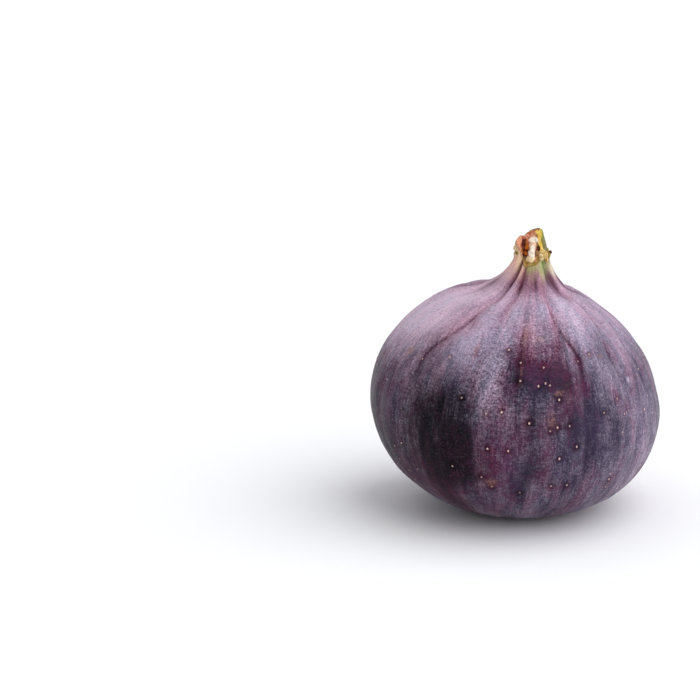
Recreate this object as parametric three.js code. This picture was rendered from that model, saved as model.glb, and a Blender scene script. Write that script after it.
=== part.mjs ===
// A whole fresh fig, picked and standing on its flattened base with the cut stalk up.
//
// A fig is one body of flesh that grew in one piece: a squat pear with a broad base, whose shoulders run up
// through a hollow curve into a short neck and the stub of the stalk. Eighteen grooves run down it like
// meridians, deep on the neck, soft at the waist. The stalk was cut off: its crusted top is nearly level, and
// at the front the knife came out through a steep scoop with a torn rim. Underneath is the eye, a small
// opening closed by two rings of scales, drawn up into a puckered dimple inside the flat ring that the
// fruit stands on.
//
// Millimetres, +Z up. The origin is on the surface that the fig stands on, at the middle of the flat ring.
// Bearings are in degrees round +Z: 0 is the front (-Y) and 90 the right (+X).

import * as THREE from "three";

// ---- Driving dimensions ----

// The body's outline: at each height z, how far the skin reaches to the left and to the right of the origin.
// It starts at the foot, the flat ring's outer edge, and ends above the top of the stalk.
const FOOT_OUTER = 8.5;
const OUTLINE = [
  { left: -FOOT_OUTER, right: FOOT_OUTER, z: 0 },
  { left: -12.9, right: 15.4, z: 1.3 },
  { left: -18.8, right: 21.7, z: 4.6 },
  { left: -24.2, right: 26.1, z: 9.8 },
  { left: -27.7, right: 28.4, z: 17.0 },
  { left: -28.4, right: 27.9, z: 24.0 },
  { left: -26.4, right: 25.2, z: 31.0 },
  { left: -22.1, right: 20.4, z: 37.0 },
  { left: -18.2, right: 16.3, z: 40.4 },
  { left: -13.2, right: 12.8, z: 42.9 },
  { left: -6.6, right: 9.8, z: 44.6 },
  { left: -1.6, right: 7.4, z: 48.4 },
  { left: 0.3, right: 6.4, z: 52.4 },
  { left: 0.9, right: 5.4, z: 56.4 },
];
const ROWS_PER_SPAN = 3;
const COLUMNS = 96;

// The centre line that the grooves run round: upright to the waist, then leaning right to the stalk.
const WAIST_Z = 24;
const STALK_Z = 50;
const STALK_X = 3;

// The grooves. Each has a bearing and a depth at five heights, from the neck down to the base.
const GROOVE_Z = [48, 42, 34, 22, 6];
const FRONT_GROOVES = [
  { bearing: [-80, -84, -86, -84, -84], depth: [0.25, 0.3, 0.25, 0.2, 0.1] },
  { bearing: [-58, -60, -66, -66, -64], depth: [0.25, 0.3, 0.3, 0.25, 0.1] },
  { bearing: [-36, -38, -50, -48, -44], depth: [0.45, 0.6, 0.35, 0.2, 0.1] },
  { bearing: [-13, -17, -19, -17, -16], depth: [0.35, 0.3, 0.4, 0.35, 0.15] },
  { bearing: [5, -2, -1, 1, 0], depth: [0.2, 0.25, 0.25, 0.15, 0.1] },
  { bearing: [32, 20, 31, 30, 28], depth: [0.4, 0.45, 0.65, 0.45, 0.2] },
  { bearing: [48, 60, 51, 57, 57], depth: [0.5, 0.7, 0.45, 0.45, 0.15] },
  { bearing: [66, 78, 69, 70, 70], depth: [0.3, 0.3, 0.35, 0.35, 0.15] },
];
// The back's grooves follow a rule: evenly spaced bearings with some jitter, and depths that vary.
const BACK_GROOVES = { from: 90, to: 262, count: 10, jitter: 7, depth: [0.35, 0.45, 0.4, 0.3, 0.12] };
const GROOVE_WIDTH_BASE = 0.4;
const GROOVE_WIDTH_PER_RADIUS = 0.046;
const VALLEY_WIDTH = 2.4; // the soft valley round each groove, in groove widths
const VALLEY_SHARE = 0.5; // its depth, as a share of the groove's
const GROOVES_FULL_Z = 6; // below this height the grooves fade out towards the foot

// The stub's rim: nearly level, a little higher at the back right, and scooped low at the front.
const STUB_FROM_Z = 45.5;
const RIM_Z = 54.9;
const RIM_RISE_RIGHT = 0.5;
const RIM_RISE_BACK = 0.5;
const SCOOP_DEPTH = 5.0;
const SCOOP_BEARING = -2;
const SCOOP_HALF_ANGLE = 78;
const CUT_ROWS = 5;
const CUT_HOLLOW = 0.35;

// Lumps on the stub: torn tissue and the scars of small bracts, each a bell-shaped swelling.
const STUB_LUMPS = [
  { bearing: -76, z: 53.6, size: 1.6, out: 0.8 }, // swollen lobe at the left of the cut
  { bearing: -92, z: 50.9, size: 0.6, out: 0.4 }, // bract scar, left
  { bearing: 48, z: 50.9, size: 1.1, out: 0.5 }, // torn flap, right of the cut
  { bearing: 94, z: 50.9, size: 0.6, out: 0.6 }, // bract scar, right
  { bearing: 160, z: 52.0, size: 1.4, out: 0.35 },
];

// The eye, underneath.
const FOOT_INNER = 6;
const FOOT_ROWS = 2;
const EYE_ROWS = 12;
const EYE_ROW_CROWDING = 1.35; // above 1, the rows lie closer together towards the eye's middle
const EYE_RISE = 1.8; // how far the dimple's middle lies above the surface
const PUCKERS = 16;
const PUCKER_DEPTH = 0.16;
const PUCKER_INNER = 2.8; // the puckers run from the outer scales to the ring
const SCALE_RINGS = [
  { outer: 3.2, count: 8, turn: 0, lift: 0.5 },
  { outer: 1.9, count: 5, turn: 14, lift: 0.4 },
];
const SCALE_LENGTH = 1.7;
const SCALE_EDGE = 3; // how sharply a scale's edge drops, in scale widths

// ---- Small helpers ----

const RADIANS = Math.PI / 180;
const GOLDEN = 0.618034;
const fraction = (x) => x - Math.floor(x);
const smooth = (x) => {
  const s = Math.min(Math.max(x, 0), 1);
  return s * s * (3 - 2 * s);
};

// The angle from one bearing to another, from -180 to 180 degrees.
const turnBetween = (a, b) => ((((b - a + 180) % 360) + 360) % 360) - 180;

// A value that runs smoothly from one of `values` to the next as z falls past GROOVE_Z.
function along(values, z) {
  let i = 0;
  while (i < GROOVE_Z.length - 2 && z < GROOVE_Z[i + 1]) i += 1;
  const share = smooth((GROOVE_Z[i] - z) / (GROOVE_Z[i] - GROOVE_Z[i + 1]));
  return values[i] + (values[i + 1] - values[i]) * share;
}

// ---- The body ----

const axisX = (z) => STALK_X * smooth((z - WAIST_Z) / (STALK_Z - WAIST_Z));

const outlineCurve = new THREE.CatmullRomCurve3(
  OUTLINE.map(({ left, right, z }) => new THREE.Vector3(left, right, z)),
  false,
  "centripetal",
);

// Where along the outline a height is reached. From the foot up, the height only rises.
function outlineShareAt(z) {
  let low = 0;
  let high = 1;
  for (let i = 0; i < 30; i += 1) {
    const middle = (low + high) / 2;
    if (outlineCurve.getPoint(middle).z < z) low = middle;
    else high = middle;
  }
  return low;
}

// The front grooves are as listed. Golden-ratio steps jitter the back ones, so no two are alike.
function makeGrooves() {
  const grooves = [...FRONT_GROOVES];
  const { from, to, count, jitter, depth } = BACK_GROOVES;
  for (let k = 0; k < count; k += 1) {
    const middle = from + ((k + 0.5) * (to - from)) / count;
    const bearing = depth.map((_, i) => middle + jitter * (fraction((k * depth.length + i) * GOLDEN) - 0.5));
    const strength = 0.6 + 0.8 * fraction(k * GOLDEN);
    grooves.push({ bearing, depth: depth.map((d) => d * strength) });
  }
  return grooves;
}
const grooves = makeGrooves();

// How far the grooves push the skin in, at a bearing, a height and a distance from the centre line.
function grooveDepth(bearing, z, radius) {
  const width = GROOVE_WIDTH_BASE + GROOVE_WIDTH_PER_RADIUS * radius;
  let depth = 0;
  for (const groove of grooves) {
    const across = turnBetween(along(groove.bearing, z), bearing) * RADIANS * radius;
    const crease = Math.exp(-((across / width) ** 2));
    const valley = VALLEY_SHARE * Math.exp(-((across / (VALLEY_WIDTH * width)) ** 2));
    depth += along(groove.depth, z) * (crease + valley);
  }
  return depth * smooth(z / GROOVES_FULL_Z);
}

// How far the stub's lumps stand out.
function lumpHeight(bearing, z, radius) {
  let height = 0;
  for (const lump of STUB_LUMPS) {
    const across = turnBetween(lump.bearing, bearing) * RADIANS * radius;
    height += lump.out * Math.exp(-(across ** 2 + (z - lump.z) ** 2) / lump.size ** 2);
  }
  return height;
}

// The height of the stub's rim at a bearing.
function rimZ(bearing) {
  const scoop = smooth(1 - Math.abs(turnBetween(SCOOP_BEARING, bearing)) / SCOOP_HALF_ANGLE);
  const rise = RIM_RISE_RIGHT * Math.sin(bearing * RADIANS) - RIM_RISE_BACK * Math.cos(bearing * RADIANS);
  return RIM_Z + rise - SCOOP_DEPTH * scoop;
}

// A point on the skin, at a share of the way along the outline. Each level section is a circle round the
// centre line, pulled sideways so that it reaches from the outline's left to its right.
function skinPoint(bearing, share) {
  const { x: left, y: right, z } = outlineCurve.getPoint(share);
  const tangent = outlineCurve.getTangent(share);
  const sin = Math.sin(bearing * RADIANS);
  const cos = Math.cos(bearing * RADIANS);
  const middle = axisX(z);
  const radius = (right - left) / 2 + ((right + left) / 2 - middle) * sin;

  // Straight out of the skin is the outline's tangent turned a quarter.
  const outwards = new THREE.Vector2(tangent.z, (tangent.x - tangent.y) / 2).normalize();
  const push = lumpHeight(bearing, z, radius) - grooveDepth(bearing, z, radius);
  const reach = radius + push * outwards.x;
  return new THREE.Vector3(middle + reach * sin, -reach * cos, Math.max(z + push * outwards.y, 0));
}

// ---- The cut ----

const cutMiddle = new THREE.Vector3(axisX(RIM_Z), 0, RIM_Z - CUT_HOLLOW);

// A point on the cut, which runs from the rim (share 1) to the middle (share 0) and is a little hollow.
function cutPoint(bearing, share) {
  const rim = skinPoint(bearing, outlineShareAt(rimZ(bearing)));
  const point = new THREE.Vector3().lerpVectors(cutMiddle, rim, share);
  point.z -= CUT_HOLLOW * Math.sin(Math.PI * share);
  return point;
}

// ---- The eye ----

// How far the scales round the eye stand down from the dimple. A scale is broad at its outer end and narrows
// to a rounded tip towards the middle, where it is thickest.
function scaleDrop(bearing, radius) {
  let drop = 0;
  for (const { outer, count, turn, lift } of SCALE_RINGS) {
    const inwards = (outer - radius) / SCALE_LENGTH;
    if (inwards > 0 && inwards < 1) {
      const across = 2 * Math.abs(fraction(((bearing + turn) * count) / 360) - 0.5);
      const halfWidth = Math.sqrt(1 - inwards ** 2);
      drop = Math.max(drop, lift * smooth((halfWidth - across) * SCALE_EDGE) * smooth(inwards * 2));
    }
  }
  return drop;
}

// A point underneath, from the eye's middle (radius 0) out to the flat ring at the foot.
function eyePoint(bearing, radius) {
  const angle = bearing * RADIANS;
  const rise = EYE_RISE * smooth(1 - radius / FOOT_INNER);
  const alongPucker = Math.max(radius - PUCKER_INNER, 0) / (FOOT_INNER - PUCKER_INNER);
  const pucker = PUCKER_DEPTH * Math.sin(Math.PI * alongPucker) * Math.cos(PUCKERS * angle);
  const z = radius < FOOT_INNER ? rise + pucker - scaleDrop(bearing, radius) : 0;
  return new THREE.Vector3(radius * Math.sin(angle), -radius * Math.cos(angle), Math.max(z, 0));
}

// ---- The mesh ----

// Rings of points from the eye, out over the foot, up the skin and in over the cut.
function makeRings() {
  const ringOf = (point) => Array.from({ length: COLUMNS }, (_, k) => point((360 * k) / COLUMNS));
  const rings = [];
  for (let i = 1; i <= EYE_ROWS; i += 1) {
    const radius = FOOT_INNER * (i / EYE_ROWS) ** EYE_ROW_CROWDING;
    rings.push(ringOf((bearing) => eyePoint(bearing, radius)));
  }
  for (let i = 1; i < FOOT_ROWS; i += 1) {
    const radius = FOOT_INNER + ((FOOT_OUTER - FOOT_INNER) * i) / FOOT_ROWS;
    rings.push(ringOf((bearing) => eyePoint(bearing, radius)));
  }
  // Above the neck the rows fan out, so that the last one follows the rim.
  const neck = outlineShareAt(STUB_FROM_Z);
  const skinRows = ROWS_PER_SPAN * (OUTLINE.length - 1);
  for (let i = 0; i <= skinRows; i += 1) {
    const share = i / skinRows;
    const climb = Math.max(share - neck, 0) / (1 - neck);
    const shareAt = (bearing) => Math.min(share, neck) + climb * (outlineShareAt(rimZ(bearing)) - neck);
    rings.push(ringOf((bearing) => skinPoint(bearing, shareAt(bearing))));
  }
  for (let i = CUT_ROWS - 1; i > 0; i -= 1) rings.push(ringOf((bearing) => cutPoint(bearing, i / CUT_ROWS)));
  return rings;
}

// One closed skin: a fan at the eye, bands between the rings, and a fan at the middle of the cut.
function closeRings(first, rings, last) {
  const points = [first, ...rings.flat(), last];
  const at = (ring, column) => 1 + ring * COLUMNS + (column % COLUMNS);
  const top = rings.length - 1;
  const faces = [];
  for (let k = 0; k < COLUMNS; k += 1) {
    faces.push(0, at(0, k + 1), at(0, k));
    for (let i = 0; i < top; i += 1) {
      faces.push(at(i, k), at(i, k + 1), at(i + 1, k));
      faces.push(at(i, k + 1), at(i + 1, k + 1), at(i + 1, k));
    }
    faces.push(at(top, k), at(top, k + 1), points.length - 1);
  }
  const geometry = new THREE.BufferGeometry().setFromPoints(points).setIndex(faces);
  geometry.computeVertexNormals();
  return geometry;
}

const purpleSkin = new THREE.MeshStandardMaterial({ color: 0x5d4a66, roughness: 0.55, metalness: 0 });
const fig = new THREE.Mesh(closeRings(eyePoint(0, 0), makeRings(), cutMiddle), purpleSkin);
fig.name = "fig";

const group = new THREE.Group();
group.add(fig);
export default group;
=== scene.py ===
"""A whole fresh fig with a bloomed purple skin and a cut stalk, standing on a white table."""

import math

import bpy
import numpy as np
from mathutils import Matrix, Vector


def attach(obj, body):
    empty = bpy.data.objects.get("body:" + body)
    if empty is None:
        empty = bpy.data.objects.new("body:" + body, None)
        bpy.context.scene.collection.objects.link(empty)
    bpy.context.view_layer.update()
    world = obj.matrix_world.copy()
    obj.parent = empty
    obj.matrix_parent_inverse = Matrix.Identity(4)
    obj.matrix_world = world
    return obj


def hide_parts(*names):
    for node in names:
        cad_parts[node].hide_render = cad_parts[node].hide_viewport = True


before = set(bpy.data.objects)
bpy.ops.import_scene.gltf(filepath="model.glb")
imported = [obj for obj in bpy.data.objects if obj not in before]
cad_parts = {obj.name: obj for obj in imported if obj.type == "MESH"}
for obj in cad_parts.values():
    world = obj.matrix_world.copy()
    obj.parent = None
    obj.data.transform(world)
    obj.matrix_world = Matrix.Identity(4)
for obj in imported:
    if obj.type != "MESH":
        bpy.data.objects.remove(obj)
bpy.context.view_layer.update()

scene = bpy.context.scene


# ---- The view ----
# The fig is seen from its front, 15 degrees above the table, through a long lens 600 mm away. The camera is
# turned and tipped a little, so that the fruit stands to the right of the middle.

VIEW_DISTANCE = 0.6
VIEW_ELEVATION = 15
VIEW_TURN = 3.2  # degrees to the left of the fruit
VIEW_TIP = 0.43  # degrees above it
LOOKED_AT = Vector((0, 0, 0.0265))
FRAME_WIDTH = 0.1379  # the frame's width at the fruit


def make_camera():
    """Places the camera on a ray that rises from the fruit at the elevation, towards the front."""
    camera = bpy.data.objects.new("camera", bpy.data.cameras.new("camera"))
    camera.data.lens = camera.data.sensor_width * VIEW_DISTANCE / FRAME_WIDTH
    angle = math.radians(VIEW_ELEVATION)
    camera.location = LOOKED_AT + VIEW_DISTANCE * Vector((0, -math.cos(angle), math.sin(angle)))
    tilt = 90 - VIEW_ELEVATION + VIEW_TIP
    camera.rotation_euler = (math.radians(tilt), 0, math.radians(VIEW_TURN))
    scene.collection.objects.link(camera)
    scene.camera = camera


make_camera()


# ---- The table and the light ----
# A seamless white table in a white room, under a wide bank of light that hangs high on the right and another,
# weaker one on the left. Both are far away, so that the table is equally bright all over.

TABLE_SIZE = 6.0
TABLE_WHITE = (0.95, 0.96, 0.99, 1)
ROOM_LIGHT = 0.50
RIGHT_BANK = Vector((0.75, -0.15, 0.75))  # where the light comes from
RIGHT_BANK_WIDTH = 90  # degrees of the sky
RIGHT_BANK_LIGHT = 2.3
LEFT_BANK = Vector((-0.2, 0.3, 0.9))
LEFT_BANK_WIDTH = 60
LEFT_BANK_LIGHT = 0.4


def new_material(name):
    """A new material and its shader."""
    material = bpy.data.materials.new(name)
    material.use_nodes = True
    return material, material.node_tree.nodes["Principled BSDF"]


def make_table():
    """One flat square, centred under the fruit."""
    half = TABLE_SIZE / 2
    mesh = bpy.data.meshes.new("table")
    corners = [(-half, -half, 0), (half, -half, 0), (half, half, 0), (-half, half, 0)]
    mesh.from_pydata(corners, [], [(0, 1, 2, 3)])
    table = bpy.data.objects.new("table", mesh)
    white, shader = new_material("white_table")
    shader.inputs["Base Color"].default_value = TABLE_WHITE
    shader.inputs["Roughness"].default_value = 0.7
    shader.inputs["Specular IOR Level"].default_value = 0.2
    mesh.materials.append(white)
    scene.collection.objects.link(table)


def make_bank(name, towards, width, light):
    """A distant bank of light, as wide as that angle of the sky."""
    bank = bpy.data.lights.new(name, "SUN")
    bank.energy = light
    bank.angle = math.radians(width)
    holder = bpy.data.objects.new(name, bank)
    holder.rotation_euler = towards.to_track_quat("Z", "Y").to_euler()
    scene.collection.objects.link(holder)


make_table()
make_bank("right_bank", RIGHT_BANK, RIGHT_BANK_WIDTH, RIGHT_BANK_LIGHT)
make_bank("left_bank", LEFT_BANK, LEFT_BANK_WIDTH, LEFT_BANK_LIGHT)
scene.world = bpy.data.worlds.new("white_room")
scene.world.use_nodes = True
room = scene.world.node_tree.nodes["Background"]
room.inputs["Color"].default_value = (1, 1, 1, 1)
room.inputs["Strength"].default_value = ROOM_LIGHT
scene.view_settings.view_transform = "Standard"


# ---- The body ----
# A fig is one body of flesh under a thin skin: a squat pear whose shoulders run through a hollow curve into a
# short neck and the stub of the stalk. Eighteen grooves run down it like meridians, with fine fibres between
# them. It grew in one piece, and it stands on a flat ring round its eye, which is drawn up into a dimple.

MM = 0.001  # the fruit's sizes are in millimetres
FOOT_OUTER = 8.5
FOOT_INNER = 6.0
OUTLINE = np.array([  # how far the skin reaches left and right, and at what height
    (-FOOT_OUTER, FOOT_OUTER, 0),
    (-12.9, 15.4, 1.3),
    (-18.8, 21.7, 4.6),
    (-24.2, 26.1, 9.8),
    (-27.7, 28.4, 17.0),
    (-28.4, 27.9, 24.0),
    (-26.4, 25.2, 31.0),
    (-22.1, 20.4, 37.0),
    (-18.2, 16.3, 40.4),
    (-13.2, 12.8, 42.9),
    (-6.6, 9.8, 44.6),
    (-1.6, 7.4, 48.4),
    (0.3, 6.4, 52.4),
    (1.0, 5.3, 56.4),
])
WAIST_Z = 24.0
STALK_Z = 50.0
STALK_X = 3.0

GROOVE_Z = np.array([48.0, 42.0, 34.0, 22.0, 6.0])
FRONT_GROOVES = [  # bearings, 0 at the front and 90 at the right, and depths at those heights
    ([-80, -84, -86, -84, -84], [0.12, 0.1, 0.1, 0.15, 0.1]),
    ([-62, -60, -66, -66, -64], [0.1, 0.1, 0.1, 0.12, 0.1]),
    ([-37, -37, -48, -48, -44], [0.55, 0.5, 0.2, 0.12, 0.08]),
    ([-17, -17, -19, -17, -16], [0.35, 0.2, 0.25, 0.28, 0.15]),
    ([0, -2, -1, 1, 0], [0.05, 0.2, 0.22, 0.15, 0.1]),
    ([40, 20, 31, 30, 28], [0.36, 0.4, 0.5, 0.28, 0.15]),
    ([54, 60, 51, 57, 57], [0.22, 0.3, 0.3, 0.25, 0.12]),
    ([84, 78, 69, 70, 70], [0.2, 0.12, 0.18, 0.18, 0.1]),
]
BACK_FROM, BACK_TO, BACK_COUNT, BACK_JITTER = 90, 262, 10, 7
BACK_DEPTH = np.array([0.25, 0.26, 0.35, 0.3, 0.12])
BACK_WEAKEST, BACK_VARIETY = 0.6, 0.8
GOLDEN = 0.618034
GROOVE_WIDTH_BASE = 0.4
GROOVE_WIDTH_PER_RADIUS = 0.046
VALLEY_WIDTH = 2.4
VALLEY_SHARE = 0.5
CREASE_WIDTH = 0.3  # the fold at a groove's bottom, in groove widths
CREASE_SHARE = 0.4
FULL_CREASE_DEPTH = 0.5  # from this depth on, a crease shows in full
GROOVES_FULL_Z = 6.0

STUB_FROM_Z = 45.5
RIM_Z = 54.9
RIM_RISE_RIGHT = 0.8
RIM_RISE_BACK = 0.5
SCOOP_DEPTH = 4.8
SCOOP_BEARING = -2
SCOOP_HALF_ANGLE = 78
SCOOP_FLATNESS = 1.2
CUT_HOLLOW = 0.35
STUB_LUMPS = [  # bearing, height, size and how far each stands out
    (-72, 53, 1.4, 1.15), (-92, 50.9, 0.6, 0.4), (48, 50.9, 1.1, 0.5), (94, 50.9, 0.6, 0.6),
    (160, 52, 1.4, 0.35),
]

EYE_RISE = 1.8
PUCKERS = 16
PUCKER_DEPTH = 0.16
PUCKER_INNER = 2.8

COLUMNS = 512
EYE_ROWS = 22
FOOT_ROWS = 3
SKIN_ROWS = 138
CUT_ROWS = 8
CUT_EDGE_SHARE = 0.86  # where the skin's hidden end starts, on the way to the rim
NECK_CROWDING = 1.3  # how much closer the rows are on the neck

UNEVENNESS = 0.14  # depth of the gentle dents all over
UNEVEN_SIZE = 5.0
FIBRE_DEPTH = 0.05
FIBRE_SIZE = 0.055  # across, in radii
FIBRE_STRETCH = 90.0  # millimetres of height that count as one radius
FIBRE_FULL_RADIUS = 16.0  # they fade where the fruit is narrower


def smooth(x):
    """Rises from 0 to 1 in an S as x goes from 0 to 1, and stays there beyond."""
    s = np.clip(x, 0, 1)
    return s * s * (3 - 2 * s)


def rising(x, start, reach):
    """Rises from 0 to 1 in an S, from the start on and over that reach."""
    return smooth((x - start) / reach)


LATTICE = 32  # cells each way before the random values repeat


def cloud(points, size, seed):
    """Smooth random values from -1 to 1: random numbers on a lattice with cells of that size, one length or
    three, blended between the eight corners of each cell by S-curves."""
    lattice = np.random.default_rng(seed).uniform(-1, 1, (LATTICE, LATTICE, LATTICE))
    cell = points / size
    corner = np.floor(cell).astype(int)
    across = smooth(cell - corner)
    values = np.zeros(points.shape[:-1])
    for step in np.ndindex(2, 2, 2):
        weight = np.prod(np.where(np.array(step), across, 1 - across), axis=-1)
        i, j, k = np.moveaxis((corner + step) % LATTICE, -1, 0)
        values += weight * lattice[i, j, k]
    return values


def catmull_rom(stations, share):
    """Points on the centripetal Catmull-Rom curve through the stations, at shares of the way along it.

    Each span is a cubic. Its end slopes come from the stations on both sides, weighted by the square roots of
    the distances between them, and the curve is continued straight at both ends.
    """
    ends = np.vstack([2 * stations[0] - stations[1], stations, 2 * stations[-1] - stations[-2]])
    place = np.asarray(share) * (len(stations) - 1)
    span = np.minimum(place.astype(int), len(stations) - 2)
    w = (place - span)[..., None]
    before, start, end, after = (ends[span + k] for k in range(4))
    gap_in, gap, gap_out = (
        np.sqrt(np.linalg.norm(b - a, axis=-1, keepdims=True))
        for a, b in ((before, start), (start, end), (end, after))
    )
    slope_in = gap * ((start - before) / gap_in - (end - before) / (gap_in + gap) + (end - start) / gap)
    slope_out = gap * ((end - start) / gap - (after - start) / (gap + gap_out) + (after - end) / gap_out)
    square = -3 * start + 3 * end - 2 * slope_in - slope_out
    return start + slope_in * w + square * w**2 + (2 * start - 2 * end + slope_in + slope_out) * w**3


SHARES = np.linspace(0, 1, 4001)  # fine steps along the outline, to read it backwards
HEIGHTS = catmull_rom(OUTLINE, SHARES)[:, 2]


def share_at(z):
    """How far along the outline a height is reached, read off the curve the other way round."""
    return np.interp(z, np.maximum.accumulate(HEIGHTS), SHARES)


def turn(start, end):
    """The angle from one bearing to another, from -180 to 180 degrees."""
    return (end - start + 180) % 360 - 180


def along(values, z):
    """A groove's value at a height: S-curves between its values at the five heights."""
    values = np.asarray(values, float)
    i = np.clip(np.searchsorted(-GROOVE_Z, -z, side="right") - 1, 0, len(GROOVE_Z) - 2)
    share = smooth((GROOVE_Z[i] - z) / (GROOVE_Z[i] - GROOVE_Z[i + 1]))
    return values[i] + (values[i + 1] - values[i]) * share


def make_grooves():
    """The front grooves as listed, then the back's: evenly spaced, with golden-ratio steps for jitter."""
    grooves = list(FRONT_GROOVES)
    for k in range(BACK_COUNT):
        middle = BACK_FROM + (k + 0.5) * (BACK_TO - BACK_FROM) / BACK_COUNT
        steps = (k * len(BACK_DEPTH) + np.arange(len(BACK_DEPTH))) * GOLDEN
        strength = BACK_WEAKEST + BACK_VARIETY * ((k * GOLDEN) % 1)
        grooves.append((middle + BACK_JITTER * (steps % 1 - 0.5), BACK_DEPTH * strength))
    return grooves


GROOVES = make_grooves()


def axis_x(z):
    """The centre line's lean to the right: an S-curve from the waist to the stalk."""
    return STALK_X * rising(z, WAIST_Z, STALK_Z - WAIST_Z)


def groove_fields(bearing, z, radius):
    """How far the grooves push the skin in, and how much of a crease each place is, from 0 to 1.

    A groove is a bell-shaped channel with a wider and shallower one round it and a narrow fold at its bottom.
    """
    width = GROOVE_WIDTH_BASE + GROOVE_WIDTH_PER_RADIUS * radius
    depth = np.zeros(np.broadcast(bearing, z).shape)
    crease = np.zeros_like(depth)
    for bearings, depths in GROOVES:
        across = np.radians(turn(along(bearings, z), bearing)) * radius / width
        here = along(depths, z)
        fold = np.exp(-((across / CREASE_WIDTH) ** 2))
        valley = VALLEY_SHARE * np.exp(-((across / VALLEY_WIDTH) ** 2))
        depth += here * (np.exp(-(across**2)) + valley + CREASE_SHARE * fold)
        crease = np.maximum(crease, here * fold)
    fade = smooth(z / GROOVES_FULL_Z)
    return depth * fade, np.clip(crease * fade / FULL_CREASE_DEPTH, 0, 1)


def around(bearing, radius, z, middle=0):
    """Points at a bearing and a height, at that radius from an upright line through the middle."""
    angle = np.radians(bearing)
    points = middle + radius * np.sin(angle), -radius * np.cos(angle), z
    return np.stack(np.broadcast_arrays(*points), axis=-1)


def rim_z(bearing):
    """The rim's height: nearly level, higher at the back right, with a deep scoop at the front."""
    scoop = smooth(SCOOP_FLATNESS * (1 - np.abs(turn(SCOOP_BEARING, bearing)) / SCOOP_HALF_ANGLE))
    angle = np.radians(bearing)
    return RIM_Z + RIM_RISE_RIGHT * np.sin(angle) - RIM_RISE_BACK * np.cos(angle) - SCOOP_DEPTH * scoop


def skin_points(bearing, share):
    """Points on the skin at bearings and shares of the way along the outline.

    The level section is a circle round the centre line, pulled sideways so that it reaches from the outline's
    left to its right. It is then pushed along the skin's outward direction by the lumps, grooves and fibres.
    """
    left, right, z = np.moveaxis(catmull_rom(OUTLINE, share), -1, 0)
    above, below = (catmull_rom(OUTLINE, np.clip(share + step, 0, 1)) for step in (1e-4, -1e-4))
    ahead = above - below
    out_level, out_up = ahead[..., 2], (ahead[..., 0] - ahead[..., 1]) / 2
    length = np.hypot(out_level, out_up)
    angle = np.radians(bearing)
    middle = axis_x(z)
    radius = (right - left) / 2 + ((right + left) / 2 - middle) * np.sin(angle)

    push = -groove_fields(bearing, z, radius)[0]
    for lump_bearing, lump_z, size, out in STUB_LUMPS:
        across = np.radians(turn(lump_bearing, bearing)) * radius
        push += out * np.exp(-(across**2 + (z - lump_z) ** 2) / size**2)
    streaks = cloud(around(bearing, 1, z / FIBRE_STRETCH), FIBRE_SIZE, 2)
    fibres = FIBRE_DEPTH * streaks * smooth(radius / FIBRE_FULL_RADIUS)
    fine = UNEVENNESS * cloud(around(bearing, radius, z, middle), UNEVEN_SIZE, 1) + fibres
    push += fine * smooth(z / GROOVES_FULL_Z)

    reach = radius + push * out_level / length
    up = np.maximum(z + push * out_up / length, 0)
    return around(bearing, reach, up, middle)


def eye_points(bearing, radius):
    """Points underneath: a dimple that rises in an S to its middle, with puckers running in from the ring."""
    rise = EYE_RISE * smooth(1 - radius / FOOT_INNER)
    along_pucker = np.clip((radius - PUCKER_INNER) / (FOOT_INNER - PUCKER_INNER), 0, 1)
    up = rise + PUCKER_DEPTH * np.sin(np.pi * along_pucker) * np.cos(PUCKERS * np.radians(bearing))
    return around(bearing, radius, np.maximum(up, 0))


CUT_MIDDLE = np.array([STALK_X, 0, RIM_Z - CUT_HOLLOW])


def cut_points(bearing, share):
    """Points on the cut: straight from its middle (share 0) to the rim (share 1), and sagging in between."""
    rim = skin_points(bearing, share_at(rim_z(bearing)))
    points = CUT_MIDDLE + (rim - CUT_MIDDLE) * share[..., None]
    points[..., 2] -= CUT_HOLLOW * np.sin(np.pi * share)
    return points


UNDER_CRUST = np.array([0, 0, 2.0])  # how far the skin's own end lies below the cut


def skin_shares(count):
    """Shares of the outline at even distances along the skin, closer together on the neck."""
    left, right, z = catmull_rom(OUTLINE, SHARES).T
    step = np.hypot(np.diff((right - left) / 2), np.diff(z))
    step *= 1 + NECK_CROWDING * rising(z[1:], WAIST_Z, STUB_FROM_Z - WAIST_Z)
    length = np.concatenate([[0], np.cumsum(step)])
    return np.interp(np.linspace(0, length[-1], count), length, SHARES)


def body_grid():
    """The whole skin as rows of points from the eye's middle to the cut's, and each point's bearing.

    On the stub the rows fan out to follow the rim, and the last ones lie under the crust of the cut.
    """
    bearing = np.arange(COLUMNS) * 360 / COLUMNS
    eye_radius = FOOT_INNER * np.arange(1, EYE_ROWS + 1) / EYE_ROWS
    foot_radius = np.linspace(FOOT_INNER, FOOT_OUTER, FOOT_ROWS + 1)[1:-1]
    under, level = np.meshgrid(np.concatenate([eye_radius, foot_radius]), bearing, indexing="ij")
    neck = share_at(STUB_FROM_Z)
    share, skin_bearing = np.meshgrid(skin_shares(SKIN_ROWS), bearing, indexing="ij")
    climb = np.maximum(share - neck, 0) / (1 - neck)
    share = np.minimum(share, neck) + climb * (share_at(rim_z(skin_bearing)) - neck)
    under_cut = np.linspace(CUT_EDGE_SHARE, 0, CUT_ROWS)[:-1]
    inwards, cut_bearing = np.meshgrid(under_cut, bearing, indexing="ij")
    points = np.concatenate([
        eye_points(level, under),
        skin_points(skin_bearing, share),
        cut_points(cut_bearing, inwards) - UNDER_CRUST,
    ])
    return points, np.concatenate([level, skin_bearing, cut_bearing])


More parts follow.
